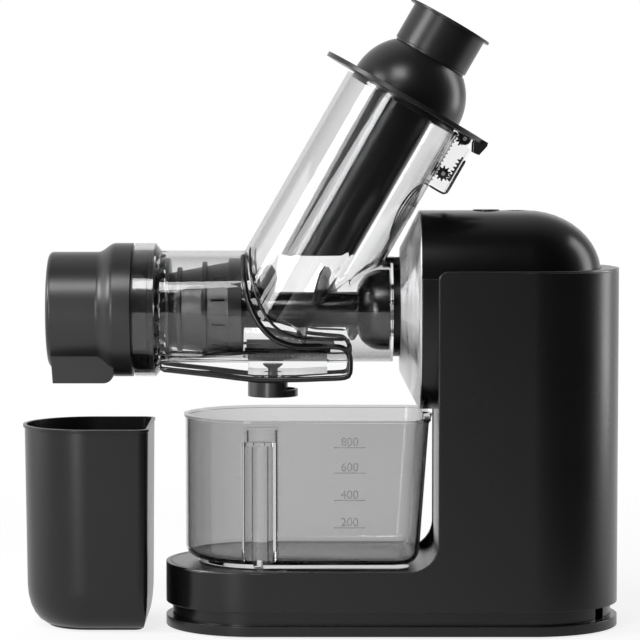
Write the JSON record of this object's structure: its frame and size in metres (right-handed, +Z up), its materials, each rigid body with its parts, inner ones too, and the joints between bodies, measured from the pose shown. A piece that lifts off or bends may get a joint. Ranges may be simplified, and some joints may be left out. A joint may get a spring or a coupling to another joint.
{
  "type": "juicer",
  "caption": "Horizontal slow juicer: motor column on a long foot, clear drum with auger and strainer, slanted feed tube with lid and pusher, jug and pulp container",
  "frame": {"origin": "on the resting plane, below the middle of the outer box of the whole set", "axes": "+Z up, +X from the pulp outlet along the drum's axis to the motor column, +Y to the back of the side view"},
  "size_m": [0.3658, 0.11, 0.384],
  "materials": {
    "satin_black": "fine satin",
    "gloss_black": "polished",
    "steel": "vertical brushing",
    "clear": "clear smoky plastic",
    "smoke": "dark translucent plastic",
    "lid_black": "satin",
    "auger_grey": "polished",
    "mechanism": "moulded",
    "seal_grey": "soft",
    "container_black": "matt",
    "bright_metal": "ground",
    "case_metal": "die cast",
    "bearing": "sintered",
    "gear_white": "moulded",
    "motor_iron": "lacquered",
    "rotor_iron": "laminated",
    "board_green": "lacquered"
  },
  "bodies": {
    "base": {"body_shell": "satin_black", "front_housing": "satin_black", "top_cover": "gloss_black", "steel_face": "steel", "bayonet_collar": "gloss_black", "base_plate": "satin_black", "rubber_feet": "seal_grey", "base_screws": "bright_metal", "gearbox_case": "case_metal", "gearbox_cover": "case_metal", "output_bearing": "bearing", "idler_shaft": "bright_metal", "motor_stator": "motor_iron", "motor_bracket": "case_metal", "circuit_board": "board_green", "board_posts": "mechanism", "microswitch": "mechanism", "power_spring": "bright_metal", "reverse_spring": "bright_metal"},
    "drum": {"drum": "clear", "hinge_pin": "bright_metal", "pinion_pin": "bright_metal", "seal_ring": "seal_grey", "strainer_cone": "smoke", "juice_sieve": "steel", "drip_seal": "seal_grey"},
    "auger": {"auger": "auger_grey", "auger_seal": "seal_grey"},
    "output": {"output_shaft": "bright_metal", "output_gear": "gear_white"},
    "idler": {"idler_gear": "gear_white"},
    "rotor": {"rotor_core": "rotor_iron", "rotor_shaft": "bright_metal", "motor_fan": "gear_white"},
    "cap": {"pulp_cap": "satin_black"},
    "drip": {"drip_stop": "mechanism"},
    "lid": {"lid": "lid_black"},
    "pusher": {"pusher": "lid_black"},
    "rod": {"interlock_rod": "mechanism"},
    "lock_pinion": {"interlock_pinion": "mechanism"},
    "lock_rack": {"return_rack": "mechanism"},
    "plunger": {"switch_plunger": "mechanism"},
    "power_key": {"power_button": "gloss_black"},
    "reverse_key": {"reverse_button": "gloss_black"},
    "jug": {"jug": "clear"},
    "container": {"pulp_container": "container_black"}
  },
  "joints": [
    {"name": "drum_slide", "type": "slide", "parent": "base", "child": "drum", "axis": [-1, 0, 0], "range_m": [0, 0.15]},
    {"name": "auger_spin", "type": "hinge", "parent": "drum", "child": "auger", "pos_m": [0, 0, 0.194], "axis": [1, 0, 0], "continuous": true},
    {"name": "output_spin", "type": "hinge", "parent": "base", "child": "output", "pos_m": [0.07085, 0, 0.194], "axis": [1, 0, 0], "continuous": true},
    {"name": "idler_spin", "type": "hinge", "parent": "base", "child": "idler", "pos_m": [0.08085, 0, 0.1565], "axis": [1, 0, 0], "continuous": true},
    {"name": "motor_spin", "type": "hinge", "parent": "base", "child": "rotor", "pos_m": [0.10085, 0, 0.1265], "axis": [1, 0, 0], "continuous": true},
    {"name": "cap_twist", "type": "hinge", "parent": "drum", "child": "cap", "pos_m": [-0.11474, 0, 0.194], "axis": [1, 0, 0], "range_deg": [0, 30]},
    {"name": "drip_turn", "type": "hinge", "parent": "drum", "child": "drip", "pos_m": [-0.02924, 0, 0.144], "axis": [0, 0, 1], "range_deg": [0, 90]},
    {"name": "lid_hinge", "type": "hinge", "parent": "drum", "child": "lid", "pos_m": [0.088, 0, 0.2987], "axis": [0, 1, 0], "range_deg": [0, 75]},
    {"name": "pusher_slide", "type": "slide", "parent": "lid", "child": "pusher", "axis": [0.5, 0, 0.866], "range_m": [0, 0.28769]},
    {"name": "rod_slide", "type": "slide", "parent": "drum", "child": "rod", "axis": [0.5, 0, 0.866], "range_m": [0, 0.008]},
    {"name": "pinion_turn", "type": "hinge", "parent": "drum", "child": "lock_pinion", "pos_m": [0.07484, 0, 0.27758], "axis": [0, 1, 0], "range_deg": [0, 100]},
    {"name": "rack_slide", "type": "slide", "parent": "drum", "child": "lock_rack", "axis": [-0.5, 0, -0.866], "range_m": [0, 0.008]},
    {"name": "plunger_slide", "type": "slide", "parent": "base", "child": "plunger", "axis": [-1, 0, 0], "range_m": [0, 0.002]},
    {"name": "power_press", "type": "slide", "parent": "base", "child": "power_key", "axis": [0, 0, -1], "range_m": [0, 0.0012], "stiffness_N_per_m": 400, "springref_m": -0.001, "deforming": ["power_spring"]},
    {"name": "reverse_press", "type": "slide", "parent": "base", "child": "reverse_key", "axis": [0, 0, -1], "range_m": [0, 0.0012], "stiffness_N_per_m": 400, "springref_m": -0.001, "deforming": ["reverse_spring"]},
    {"name": "jug_slide", "type": "slide", "parent": "base", "child": "jug", "axis": [0, -1, 0], "range_m": [0, 0.13]},
    {"name": "container_slide", "type": "slide", "parent": "base", "child": "container", "axis": [-1, 0, 0], "range_m": [0, 0.12]}
  ],
  "couplings": [
    {"joint": "lid_hinge", "follows": "pusher_slide", "rad_per_m": 4.5454},
    {"joint": "rod_slide", "follows": "pusher_slide", "ratio": 0.022726},
    {"joint": "pinion_turn", "follows": "pusher_slide", "rad_per_m": 5.4545},
    {"joint": "rack_slide", "follows": "pusher_slide", "ratio": 0.022726},
    {"joint": "plunger_slide", "follows": "pusher_slide", "ratio": 0.0052087},
    {"joint": "output_spin", "follows": "motor_spin", "ratio": 0.0625},
    {"joint": "idler_spin", "follows": "motor_spin", "ratio": -0.25},
    {"joint": "auger_spin", "follows": "motor_spin", "ratio": 0.0625}
  ]
}
